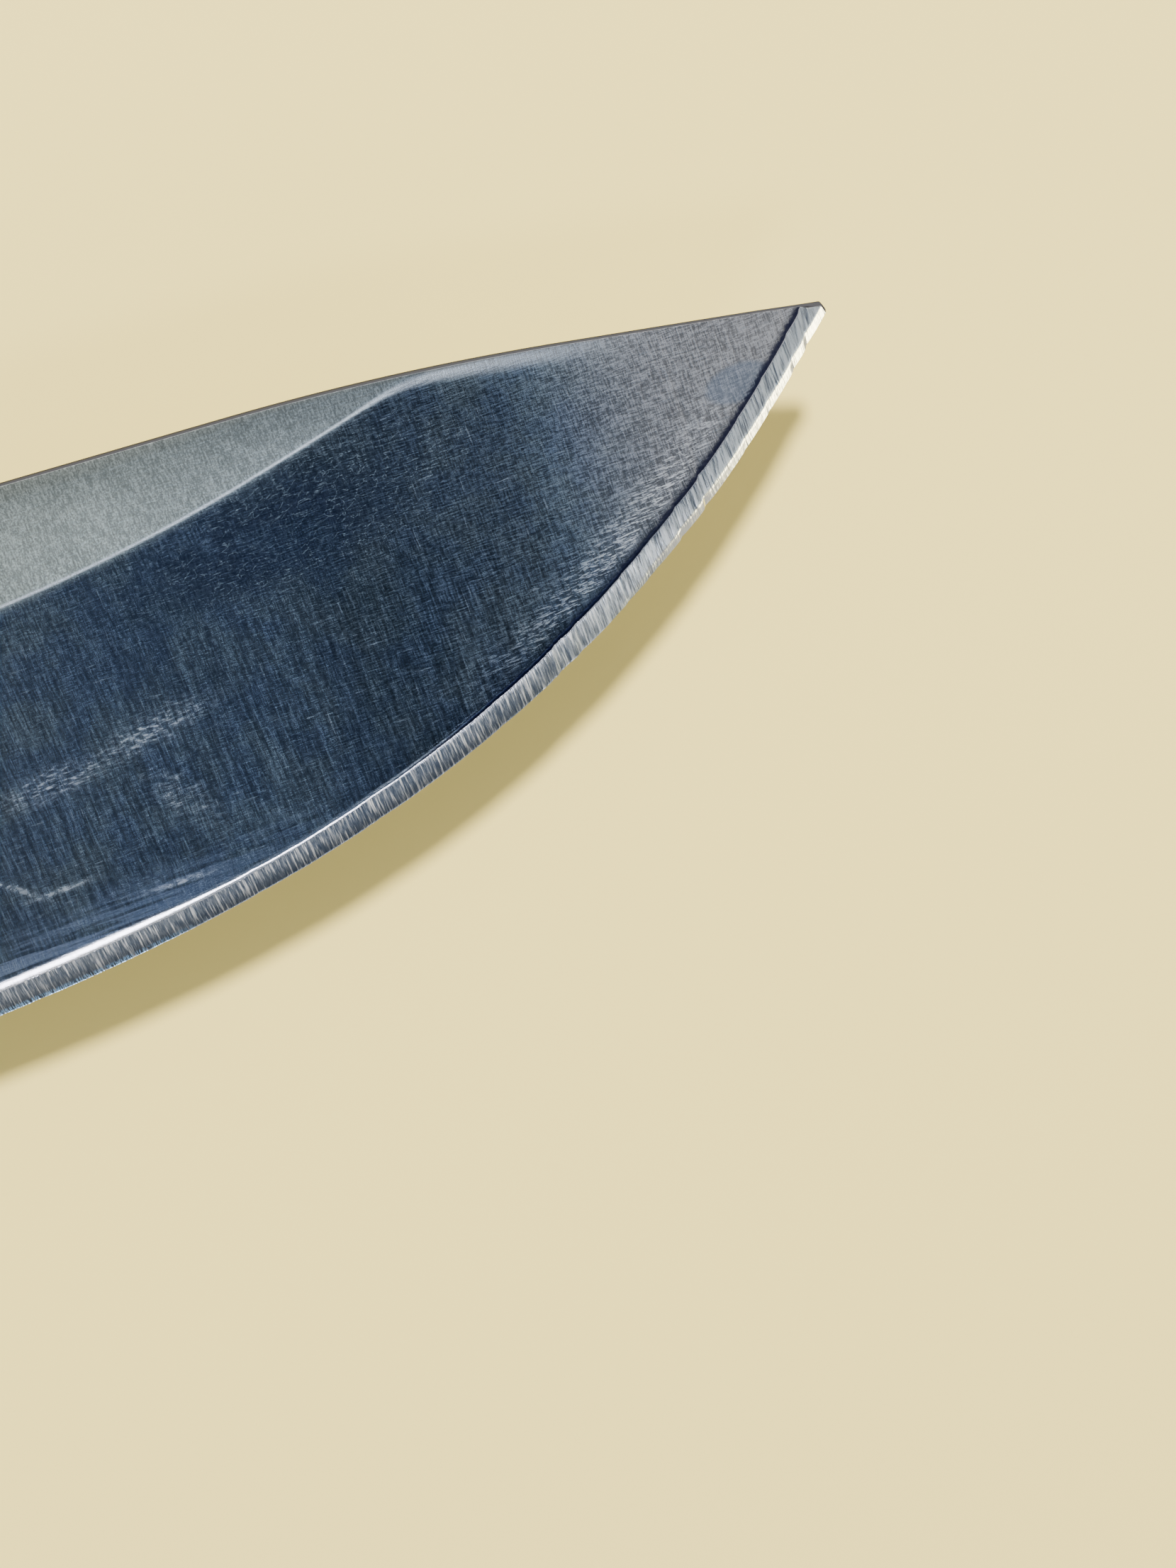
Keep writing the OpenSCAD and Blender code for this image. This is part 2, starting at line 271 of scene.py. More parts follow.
def loft(name, rings, smooth_deg=30):
    """Closed solid through rings, an array of (stations, points, 3) in knife millimetres."""
    count, n, _ = rings.shape
    start = (np.arange(count - 1) * n)[:, None]
    j = np.arange(n)[None, :]
    k = (j + 1) % n
    quads = np.stack([start + j, start + k, start + n + k, start + n + j], axis=2).reshape(-1, 4)
    ladder = np.arange(n // 2 - 1)
    first = np.stack([n - 1 - ladder, n - 2 - ladder, ladder + 1, ladder], axis=1)
    last = first[:, ::-1] + (count - 1) * n
    faces = np.concatenate([quads, first, last]).tolist()
    return mesh_object(name, place(rings.reshape(-1, 3)).tolist(), faces, smooth_deg)


def add_attribute(obj, name, values):
    layer = obj.data.attributes.new(name, "FLOAT", "POINT")
    layer.data.foreach_set("value", np.asarray(values, np.float32).ravel())


def both_faces(grid):
    """A grid's rows for a ring that runs up the right face and back down the left one."""
    return np.concatenate([grid[:, ::-1], grid], axis=1)


def make_blade():
    xs, y, z, top, low = blade_grid()
    rings = np.stack([both_faces(xs), both_faces(y), np.concatenate([z[:, ::-1], -z], axis=1)], axis=2)
    blade = loft("blade_steel", rings, 24)
    ground = plunge(xs) * smoothstep((grind_y(xs) - y) / 0.8 + 0.3)
    from_edge = (y - low[:, None]) * edge_cos(xs)
    from_edge = np.where(xs < HEEL_X, 9, from_edge)
    add_attribute(blade, "ground", both_faces(ground))
    seen_ridge = softmin(grind_y(xs), spine_y(xs) - 0.42, 0.9)
    add_attribute(blade, "below_ridge", both_faces(np.clip(seen_ridge - y, -8, 30)))
    add_attribute(blade, "from_edge", both_faces(from_edge))
    add_attribute(blade, "from_spine", both_faces(top[:, None] - y))
    uv = blade.data.uv_layers.new(name="flat")
    co = np.empty(len(blade.data.vertices) * 3)
    blade.data.vertices.foreach_get("co", co)
    loops = np.empty(len(blade.data.loops), int)
    blade.data.loops.foreach_get("vertex_index", loops)
    uv.data.foreach_set("uv", co.reshape(-1, 3)[loops, :2].ravel() * 10)
    return blade


# ---------------------------------------------------------------- the handle's shape
# Edges flatter than this many degrees are shaded as smooth on the tang and the liners.
SLAB_SMOOTH = 40


def round_up(s):
    return np.sqrt(1 - (1 - np.clip(s, 0, 1)) ** 2)


def handle_mid(x):
    return (handle_y(TOP_LINE, x) + handle_y(BOTTOM_LINE, x)) / 2


def handle_half(x):
    return (handle_y(TOP_LINE, x) - handle_y(BOTTOM_LINE, x)) / 2 * round_up((x + HANDLE_LEN) / BUTT_ROUND)


def butt_xs(count):
    return -HANDLE_LEN + BUTT_ROUND * (1 - np.cos(np.radians(np.linspace(10, 90, count))))


def grip_xs(end, step=1.0):
    start = -HANDLE_LEN + BUTT_ROUND
    return np.linspace(start, end, int((end - start) / step) + 1)[1:]


def handle_rings(x, inner_z):
    """Rings of one side of the handle, from the bottom over the flat to the top."""
    mid, half = handle_mid(x), handle_half(x)
    r = np.minimum(EDGE_ROUND, 0.98 * half)
    crown = (SIDE_H - LAND_Z) * round_up((x + HANDLE_LEN) / BUTT_ROUND) * round_up(-x / BOLSTER_ROUND)
    turn = np.radians(np.linspace(0, 90, 19))[None, :]
    out = half[:, None] - r[:, None] * (1 - np.cos(turn))
    z = LAND_Z + crown[:, None] * np.sin(turn)
    y = np.concatenate([mid[:, None] - out, mid[:, None] + out[:, ::-1]], axis=1)
    z = np.concatenate([z, z[:, ::-1]], axis=1)
    if inner_z < LAND_Z:
        y = np.concatenate([y[:, :1], y, y[:, -1:]], axis=1)
        z = np.concatenate([np.full((len(x), 1), inner_z), z, np.full((len(x), 1), inner_z)], axis=1)
    return np.stack([np.repeat(x[:, None], y.shape[1], axis=1), y, z], axis=2)


def on_side(rings, side):
    """The right side's rings as they are, or mirrored to the left side with their turn kept."""
    if side == "right":
        return rings
    return (rings * np.array([1, 1, -1]))[:, ::-1]


def lathe(name, profile, x, y, smooth_deg=30, steps=96):
    """Solid of revolution about the upright line at x, y; profile is [radius, z] in knife millimetres."""
    profile = np.array(profile, float)
    turn = np.linspace(0, 2 * math.pi, steps, endpoint=False)
    ring = np.stack([np.cos(turn), np.sin(turn)], axis=1)
    verts = [(x + r * c, y + r * s, z) for r, z in profile for c, s in ring]
    n = len(profile)
    closed = profile[0, 0] > 0
    pairs = [(i, (i + 1) % n) for i in range(n if closed else n - 1)]
    faces = [(a * steps + j, a * steps + (j + 1) % steps, b * steps + (j + 1) % steps, b * steps + j)
             for a, b in pairs for j in range(steps)]
    obj = mesh_object(name, place(verts).tolist(), faces, smooth_deg)
    weld(obj)
    return obj


def weld(obj):
    bm = bmesh.new()
    bm.from_mesh(obj.data)
    bmesh.ops.remove_doubles(bm, verts=bm.verts, dist=1e-7)
    bmesh.ops.recalc_face_normals(bm, faces=bm.faces)
    bm.to_mesh(obj.data)
    bm.free()


def cut(obj, cutters, smooth_deg=30):
    """Takes the cutters out of obj, for good, and deletes them."""
    for cutter in cutters:
        mod = obj.modifiers.new("cut", "BOOLEAN")
        mod.operation, mod.solver, mod.object = "DIFFERENCE", "EXACT", cutter
    finish_modifiers(obj)
    for cutter in cutters:
        bpy.data.objects.remove(cutter)
    obj.data.set_sharp_from_angle(angle=math.radians(smooth_deg))


def finish_modifiers(obj):
    graph = bpy.context.evaluated_depsgraph_get()
    mesh = bpy.data.meshes.new_from_object(obj.evaluated_get(graph))
    obj.modifiers.clear()
    obj.data = mesh


def rod(r, x, y, low, high):
    return lathe("cutter", [(0, low), (r, low), (r, high), (0, high)], x, y)


def rivet_y(x):
    return float(handle_mid(-x))


def through(diameter, x, y):
    """Tool for a hole right through the handle, with the fit's gap round the part in it."""
    return rod(diameter / 2 + FIT_GAP, x, y, -SIDE_H - TOOL_OVER, SIDE_H + TOOL_OVER)


def barrel_rods():
    return [through(BARREL_D, -x, rivet_y(x)) for x in RIVETS.values()]


def tube_rod():
    return through(TUBE_D, -TUBE_X, rivet_y(TUBE_X))


def pin_rods():
    return [through(PIN_D, -PIN_X, -y) for y in PIN_DEPTHS.values()]


def settle(obj):
    """Shading that keeps big flat faces flat beside rounded ones."""
    mod = obj.modifiers.new("weighted", "WEIGHTED_NORMAL")
    mod.keep_sharp = True
    mod.weight = 100


def slab(name, x, low, high, holes, soften):
    """The handle's outline as a plate between two heights, its corners eased."""
    mid, half = handle_mid(x), handle_half(x)
    inner = np.minimum(soften, 0.3 * half)
    side = [(low, half - inner), (low + soften, half), (high - soften, half), (high, half - inner)]
    rows = [np.stack([x, mid - out, np.full(len(x), z)], axis=1) for z, out in side]
    rows += [np.stack([x, mid + out, np.full(len(x), z)], axis=1) for z, out in side[::-1]]
    obj = loft(name, np.stack(rows, axis=1), SLAB_SMOOTH)
    cut(obj, holes, SLAB_SMOOTH)
    settle(obj)
    return obj


def make_tang():
    x = np.concatenate([butt_xs(30), grip_xs(TANG_START)])
    return slab("tang_steel", x, -STEEL_H, STEEL_H, barrel_rods() + [tube_rod()] + pin_rods(), 0.08)


def make_liner(side):
    x = np.concatenate([butt_xs(30), grip_xs(-BOLSTER_LEN)])
    low, high = (STEEL_H, LAND_Z) if side == "right" else (-LAND_Z, -STEEL_H)
    return slab(f"{side}_liner", x, low, high, barrel_rods() + [tube_rod()], 0.04)


def make_scale(side):
    x = np.concatenate([butt_xs(34), grip_xs(-BOLSTER_LEN)])
    obj = loft(f"{side}_scale", on_side(handle_rings(x, LAND_Z), side))
    low, high = SIDE_H - HEAD_T, SIDE_H + TOOL_OVER
    if side == "left":
        low, high = -high, -low
    heads = [rod(HEAD_D / 2 + FIT_GAP, -d, rivet_y(d), low, high) for d in RIVETS.values()]
    cut(obj, barrel_rods() + heads + [tube_rod()])
    settle(obj)
    return obj


def make_bolster(side):
    front = -BOLSTER_ROUND * (1 - np.cos(np.radians(np.linspace(90, 10, 34))))
    x = np.concatenate([np.linspace(-BOLSTER_LEN, -BOLSTER_ROUND, 12)[:-1], front])
    obj = loft(f"{side}_bolster", on_side(handle_rings(x, STEEL_H), side))
    cut(obj, pin_rods())
    settle(obj)
    return obj


def make_pin(name):
    h, r, ease = SIDE_H, PIN_D / 2, PIN_EASE
    profile = [(0, -h), (r - 2 * ease, -h), (r - ease, -h), (r, -h + ease), (r, h - ease), (r - ease, h),
               (r - 2 * ease, h), (0, h)]
    return lathe(f"pin_{name}", profile, -PIN_X, -PIN_DEPTHS[name])


def head_profile(base, face):
    """A rivet head from its under side to its face, the rim eased."""
    r, ease = HEAD_D / 2, HEAD_EASE
    back = math.copysign(ease, base - face)
    return [(r, base), (r, face + back), (r - ease * 0.3, face + back * 0.3), (r - ease, face),
            (r - 2 * ease, face)]


def make_rivet_male(where, x):
    """A head with a solid shank, its end tapered, short of the barrel's floor."""
    r, taper = SHANK_D / 2 - FIT_GAP, 0.3
    under, end = SIDE_H - HEAD_T, -SIDE_H + HEAD_T + 2
    shank = [(0, end), (r - taper, end), (r, end + taper), (r, under)]
    profile = shank + head_profile(under, SIDE_H) + [(0, SIDE_H)]
    return lathe(f"rivet_{where}_solid", profile, -x, rivet_y(x))


def make_rivet_female(where, x):
    """A head with a hollow barrel, its mouth eased, short of the other head."""
    r, bore, ease = BARREL_D / 2, SHANK_D / 2, 0.2
    under, mouth = -SIDE_H + HEAD_T, SIDE_H - HEAD_T - 1
    floor = under + 1
    barrel = [(0, floor), (bore, floor), (bore, mouth - ease), (bore + ease, mouth), (r - ease, mouth),
              (r, mouth - ease), (r, under)]
    profile = barrel + head_profile(under, -SIDE_H) + [(0, -SIDE_H)]
    return lathe(f"rivet_{where}_hollow", profile, -x, rivet_y(x))


def make_tube():
    """A tube whose rims are eased outside and flared inside."""
    r, bore, h, ease, flare = TUBE_D / 2, HANG_D / 2, SIDE_H, PIN_EASE, TUBE_FLARE
    upper = [(r, h - ease), (r - ease, h), (bore + flare, h), (bore + 0.1, h - 0.15), (bore, h - flare)]
    lower = [(radius, -z) for radius, z in upper[::-1]]
    return lathe("tube_lining", lower[-1:] + upper + lower[:-1], -TUBE_X, rivet_y(TUBE_X))


# ---------------------------------------------------------------- materials
class Nodes:
    """Short names for the nodes of one material or world."""

    def __init__(self, tree):
        self.tree = tree

    def add(self, kind, **settings):
        node = self.tree.nodes.new(kind)
        for key, value in settings.items():
            setattr(node, key, value)
        return node

    def link(self, a, b):
        self.tree.links.new(a, b)

    def put(self, socket, value):
        if isinstance(value, bpy.types.NodeSocket):
            self.link(value, socket)
        else:
            socket.default_value = value

    def math(self, operation, a, b=0.0, c=0.0):
        node = self.add("ShaderNodeMath", operation=operation)
        for socket, value in zip(node.inputs, (a, b, c)):
            self.put(socket, value)
        return node.outputs[0]

    def ramp(self, value, low, high, to_low=0.0, to_high=1.0):
        node = self.add("ShaderNodeMapRange", interpolation_type="SMOOTHSTEP")
        for socket, v in zip(node.inputs, (value, low, high, to_low, to_high)):
            self.put(socket, v)
        return node.outputs[0]

    def bump_at(self, value, centre, width):
        """1 at centre, falling to 0 at width either side."""
        away = self.math("ABSOLUTE", self.math("SUBTRACT", value, centre))
        return self.ramp(away, 0.0, width, 1.0, 0.0)

    def mix(self, factor, a, b, blend="MIX"):
        node = self.add("ShaderNodeMix", data_type="RGBA", blend_type=blend)
        for socket, value in zip((node.inputs[0], node.inputs[6], node.inputs[7]), (factor, a, b)):
            if isinstance(value, tuple):
                value = (*value, 1.0)
            self.put(socket, value)
        return node.outputs[2]

    def scale(self, color, factor):
        """The colour times a number that varies."""
        return self.mix(1.0, color, self.vector(factor, factor, factor), "MULTIPLY")

    def blend(self, factor, a, b):
        node = self.add("ShaderNodeMix", data_type="FLOAT")
        for socket, value in zip((node.inputs[0], node.inputs[2], node.inputs[3]), (factor, a, b)):
            self.put(socket, value)
        return node.outputs[0]

    def relief(self, shader, height, strength, depth_mm):
        bump = self.add("ShaderNodeBump")
        bump.inputs["Strength"].default_value = strength
        bump.inputs["Distance"].default_value = depth_mm * MM
        self.put(bump.inputs["Height"], height)
        self.link(bump.outputs[0], shader.inputs["Normal"])

    def vector(self, x, y, z=0.0):
        node = self.add("ShaderNodeCombineXYZ")
        for socket, value in zip(node.inputs, (x, y, z)):
            self.put(socket, value)
        return node.outputs[0]

    def noise(self, at, detail=2.0, roughness=0.5, scale=1.0):
        node = self.add("ShaderNodeTexNoise")
        self.link(at, node.inputs["Vector"])
        node.inputs["Scale"].default_value = scale
        node.inputs["Detail"].default_value = detail
        node.inputs["Roughness"].default_value = roughness
        return node.outputs["Fac"]

    def drawn_out(self, at, by, detail=2.0, roughness=0.5):
        """Noise whose three coordinates are each multiplied by their own number."""
        scaled = [self.math("MULTIPLY", a, k) for a, k in zip(at, by)]
        return self.noise(self.vector(*scaled), detail, roughness)

    def attribute(self, name):
        return self.add("ShaderNodeAttribute", attribute_name=name).outputs["Fac"]

    def knife_mm(self):
        """x, y and z in knife millimetres."""
        here = self.add("ShaderNodeTexCoord").outputs["Object"]
        split = self.add("ShaderNodeSeparateXYZ")
        self.link(here, split.inputs[0])
        return [self.math("MULTIPLY_ADD", split.outputs[i], 1 / MM, -ZERO[i]) for i in range(3)]


def new_material(name, kind=Nodes):
    mat = bpy.data.materials.new(name)
    mat.use_nodes = True
    tree = mat.node_tree
    return mat, kind(tree), tree.nodes["Principled BSDF"]


class Steel(Nodes):
    """The blade's surface: where a point lies on the grind, and the marks of belt, rag and stone."""

    def __init__(self, tree):
        super().__init__(tree)
        self.x, self.y, self.z = self.knife_mm()
        self.from_tip = self.math("SUBTRACT", float(BLADE_LEN), self.x)
        self.from_edge, self.from_spine = self.attribute("from_edge"), self.attribute("from_spine")
        self.ground, self.below_ridge = self.attribute("ground"), self.attribute("below_ridge")
        wide = self.ramp(self.from_tip, *GROWTH_SPAN, BEVEL_W, BEVEL_W + BEVEL_GROWTH)
        self.from_shoulder = self.math("SUBTRACT", self.from_edge, wide)
        # Belt lines lean a few degrees off square to the spine.
        self.leaning = self.math("MULTIPLY_ADD", self.y, 0.07, self.x)
        # Rubbing marks run lengthwise and turn with the edge.
        turn = self.math("EXPONENT", self.math("MULTIPLY", self.from_shoulder, -0.5))
        sloping = self.math("MULTIPLY_ADD", self.x, -0.044, self.y)
        self.lengthwise = self.math("MULTIPLY_ADD", turn, -0.5, sloping)
        self.belt = self.lines(self.leaning, self.y, 9.5, 11)
        self.belt_fine = self.lines(self.leaning, self.y, 17, 6, 2.0)
        self.rub = self.lines(self.lengthwise, self.x, 9.5, 8)
        self.rub_fine = self.lines(self.lengthwise, self.x, 16, 5, 2.0)
        slant = self.math("MULTIPLY_ADD", self.y, 0.09, self.x)
        self.stone = self.lines(slant, self.y, 8.5, 13, 2.0, 0.6)
        self.stone_fine = self.lines(slant, self.y, 17.0, 8, 1.0)
        self.mottle = self.noise(self.vector(self.x, self.y, self.z), 4.0, 0.6, scale=0.3)

    def lines(self, across, along, per_mm, stretch, detail=3.0, roughness=0.6):
        """Noise drawn out into scratches that run along one coordinate."""
        return self.drawn_out((across, along, self.z), (per_mm, per_mm / stretch, 1.0), detail, roughness)

    def cells(self, per_mm, line):
        """Crazed lines, like the borders of cells that many to the millimetre."""
        wander = self.noise(self.vector(self.x, self.y, self.z), 2.0, scale=2.0)
        node = self.add("ShaderNodeTexVoronoi", feature="DISTANCE_TO_EDGE")
        node.inputs["Scale"].default_value = per_mm
        across, down = self.math("ADD", self.x, wander), self.math("MULTIPLY_ADD", self.y, 1.5, wander)
        self.link(self.vector(across, down, self.z), node.inputs["Vector"])
        return self.ramp(node.outputs["Distance"], 0.0, line, 1.0, 0.0)

    def spot(self, from_tip, y, length, width, degrees, edge=0.5):
        """1 inside a slanting oval on the blade, 0 outside it."""
        turn = math.radians(degrees)
        dx = self.math("SUBTRACT", self.x, BLADE_LEN - from_tip)
        dy = self.math("SUBTRACT", self.y, y)
        along = self.math("MULTIPLY_ADD", dx, math.cos(turn), self.math("MULTIPLY", dy, math.sin(turn)))
        across = self.math("MULTIPLY_ADD", dx, -math.sin(turn), self.math("MULTIPLY", dy, math.cos(turn)))
        away = self.add("ShaderNodeVectorMath", operation="LENGTH")
        scaled = self.vector(self.math("DIVIDE", along, length), self.math("DIVIDE", across, width))
        self.link(scaled, away.inputs[0])
        return self.ramp(away.outputs["Value"], 1 - edge, 1 + edge, 1.0, 0.0)

    def times(self, *factors):
        result = factors[0]
        for factor in factors[1:]:
            result = self.math("MULTIPLY", result, factor)
        return result

    def most(self, *values):
        result = values[0]
        for value in values[1:]:
            result = self.math("MAXIMUM", result, value)
        return result

    def flats(self):
        """Even grey with short belt lines, a little lighter and warmer towards the handle."""
        color = self.mix(self.ramp(self.from_tip, 20.0, 52.0), (0.30, 0.345, 0.37), (0.46, 0.51, 0.475))
        color = self.scale(color, self.ramp(self.from_spine, 0.0, 3.2, 0.74, 1.04))
        marks = self.lines(self.leaning, self.y, 11, 4, 3.0)
        sparkle = self.noise(self.vector(self.x, self.y, self.z), 2.0, 0.6, scale=10.0)
        color = self.scale(color, self.ramp(self.blend(0.45, marks, sparkle), 0.4, 0.62, 0.68, 1.42))
        return self.scale(color, self.ramp(self.mottle, 0.35, 0.65, 0.94, 1.06))

    def weave(self):
        """Belt lines crossed by rubbing marks; strong near the point, faint further back."""
        towards_tip = self.ramp(self.from_tip, 13.0, 34.0, 1.0, 0.0)
        down = self.ramp(self.belt, 0.38, 0.62)
        over = self.times(self.ramp(self.rub, 0.40, 0.62), self.ramp(towards_tip, 0.0, 0.8, 0.5, 1.0))
        fine = self.ramp(self.blend(0.5, self.belt_fine, self.rub_fine), 0.38, 0.60)
        coarse = self.blend(0.5, down, over)
        return self.blend(0.4, coarse, fine), towards_tip

    def hollow(self, cloth, towards_tip):
        # The hollow's dark bluish grey is partly the finish of the grind and partly a painted dark
        # reflection.
        color = self.mix(self.ramp(self.mottle, 0.4, 0.62), (0.145, 0.188, 0.255), (0.18, 0.225, 0.265))
        # Its middle is painted darker still, as a painted dark reflection.
        deep = self.times(self.ramp(self.from_tip, 14.0, 21.0), self.ramp(self.from_tip, 37.0, 27.0))
        color = self.scale(color, self.ramp(deep, 0.0, 1.0, 1.0, 0.62))
        # Near the point it is painted a lighter grey, as a painted reflection.
        color = self.mix(self.ramp(self.from_tip, 9.0, 17.5, 1.0, 0.0), color, (0.43, 0.43, 0.44))
        strong = self.scale(color, self.ramp(cloth, 0.15, 0.85, 0.62, 1.58))
        faint = self.scale(color, self.ramp(cloth, 0.15, 0.85, 0.76, 1.30))
        color = self.mix(towards_tip, faint, strong)
        long_lines = self.lines(self.leaning, self.y, 4.5, 22, 3.0)
        low_down = self.times(self.ramp(self.y, -6.0, -13.0), self.ramp(self.from_tip, 14.0, 22.0))
        color = self.scale(color, self.blend(low_down, 1.0, self.ramp(long_lines, 0.38, 0.62, 0.78, 1.22)))
        # Thin single scratches, lengthwise and a few across.
        along = self.ramp(self.lines(self.lengthwise, self.x, 4.5, 9, 2.0), 0.66, 0.74)
        across = self.ramp(self.lines(self.leaning, self.y, 5.5, 14, 2.0), 0.67, 0.75)
        color = self.mix(self.times(self.most(along, across), 0.45), color, (0.46, 0.52, 0.58))
        # Two dark bands cross it, and one patch is darker under a net of short pale strokes.
        bands = self.drawn_out((self.leaning, self.y, self.z), (0.9, 0.08, 1.0))
        bands = self.times(self.ramp(bands, 0.42, 0.58, 1.0, 0.0),
                           self.spot(38.5, -9.5, 5.5, 6.0, 0, 0.6))
        patch = self.times(self.spot(32.6, -6.6, 6.8, 2.5, 9, 0.5),
                           self.ramp(self.mottle, 0.38, 0.5, 0.3, 1.0))
        darker_bands_and_patch = self.most(self.times(bands, 0.35), self.times(patch, 0.7))
        color = self.mix(darker_bands_and_patch, color, (0.05, 0.07, 0.12))
        net = self.times(self.cells(1.5, 0.06), self.spot(29.5, -6.0, 9.5, 3.6, 9, 0.5),
                         self.ramp(self.rub, 0.42, 0.56), self.ramp(self.mottle, 0.4, 0.52, 0.35, 1.0))
        color = self.mix(self.times(net, 0.6), color, (0.46, 0.53, 0.56))
        # A bluish patch close to the point.
        bluish_patch = self.spot(5.7, -5.75, 1.9, 1.0, 6, 0.15)
        return self.mix(self.times(bluish_patch, 0.5), color, (0.32, 0.40, 0.53))

    def buff_and_sheen(self):
        """How far the hollow is buffed and painted with a light bluish sheen, in lengthwise streaks above
        the shoulder towards the handle.
        """
        streaks = self.lines(self.lengthwise, self.x, 2.4, 16, 2.0)
        near = self.ramp(self.from_shoulder, 0.3, 3.2, 1.0, 0.0)
        return self.times(near, self.ramp(self.from_tip, 30.0, 46.0), self.ramp(streaks, 0.40, 0.60))

    def scuffs(self):
        """Dull pale marks: three smears, three ticks and rubbing beside the bevel."""
        at = self.vector(self.x, self.math("MULTIPLY", self.lengthwise, 2.0), self.z)
        soft = self.noise(at, 3.0, 0.65, scale=2.2)
        dashes = self.times(self.ramp(soft, 0.34, 0.72), self.ramp(self.rub, 0.36, 0.62, 0.25, 1.0))
        smears = self.most(self.spot(47.3, -16.1, 2.6, 0.7, 8, 0.9),
                           self.spot(41.6, -14.9, 3.0, 0.7, 14, 0.9),
                           self.times(self.spot(41.0, -18.8, 1.9, 0.9, -50, 0.9), 0.6))
        beside = self.times(self.ramp(self.from_shoulder, 0.35, 0.9),
                            self.ramp(self.from_shoulder, 1.2, 3.2, 1.0, 0.0),
                            self.ramp(self.from_tip, 5.0, 11.0),
                            self.ramp(self.from_tip, 14.0, 28.0, 1.0, 0.0))
        streaky = self.ramp(self.math("ADD", self.rub_fine, self.rub), 0.96, 1.2)
        ticks = self.most(self.spot(51.2, -21.2, 1.4, 0.16, -36, 0.9),
                          self.spot(49.0, -21.95, 1.5, 0.15, 4, 0.9),
                          self.spot(42.6, -23.4, 1.7, 0.16, 2, 0.9))
        ticks = self.times(ticks, self.ramp(soft, 0.35, 0.6, 0.1, 0.6))
        return self.most(self.times(smears, dashes, 0.75), self.times(beside, streaky, 0.75), ticks)

    def bevel(self):
        """Stone marks: thin pale ones on grey, closing up to nearly all pale at the point, where the pale is
        also a painted highlight.

        Returns the colour, where the apex has its burnish and painted highlight, and where it has painted
        glints.
        """
        pale = self.ramp(self.from_tip, 6.0, 25.0, 1.0, 0.0)
        grey = self.mix(self.ramp(self.stone_fine, 0.4, 0.6), (0.15, 0.18, 0.22), (0.31, 0.33, 0.35))
        sparse = self.mix(self.ramp(self.stone, 0.54, 0.70, 0.0, 0.9), grey, (0.86, 0.85, 0.80))
        dense = self.mix(self.ramp(self.stone, 0.32, 0.50), self.scale(grey, 1.7), (0.84, 0.91, 0.94))
        sparse = self.scale(sparse, self.ramp(self.from_edge, 0.1, 1.0, 0.55, 1.12))
        color = self.mix(pale, sparse, self.scale(dense, self.ramp(self.from_tip, 16.0, 11.0, 1.0, 0.75)))
        # The apex has a burnish and a painted cream highlight at the point, with painted blue glints towards
        # the handle.
        burnish_and_highlight = self.times(self.ramp(self.from_edge, 0.36, 0.46, 1.0, 0.0),
                               self.ramp(self.from_tip, 15.0, 9.0))
        color = self.mix(burnish_and_highlight, color, (1.0, 0.98, 0.88))
        glints = self.times(self.ramp(self.from_edge, 0.16, 0.34, 1.0, 0.0),
                            self.ramp(self.from_tip, 41.0, 47.0), self.ramp(self.stone_fine, 0.42, 0.62))
        return self.mix(glints, color, (0.45, 0.72, 1.0)), burnish_and_highlight, glints


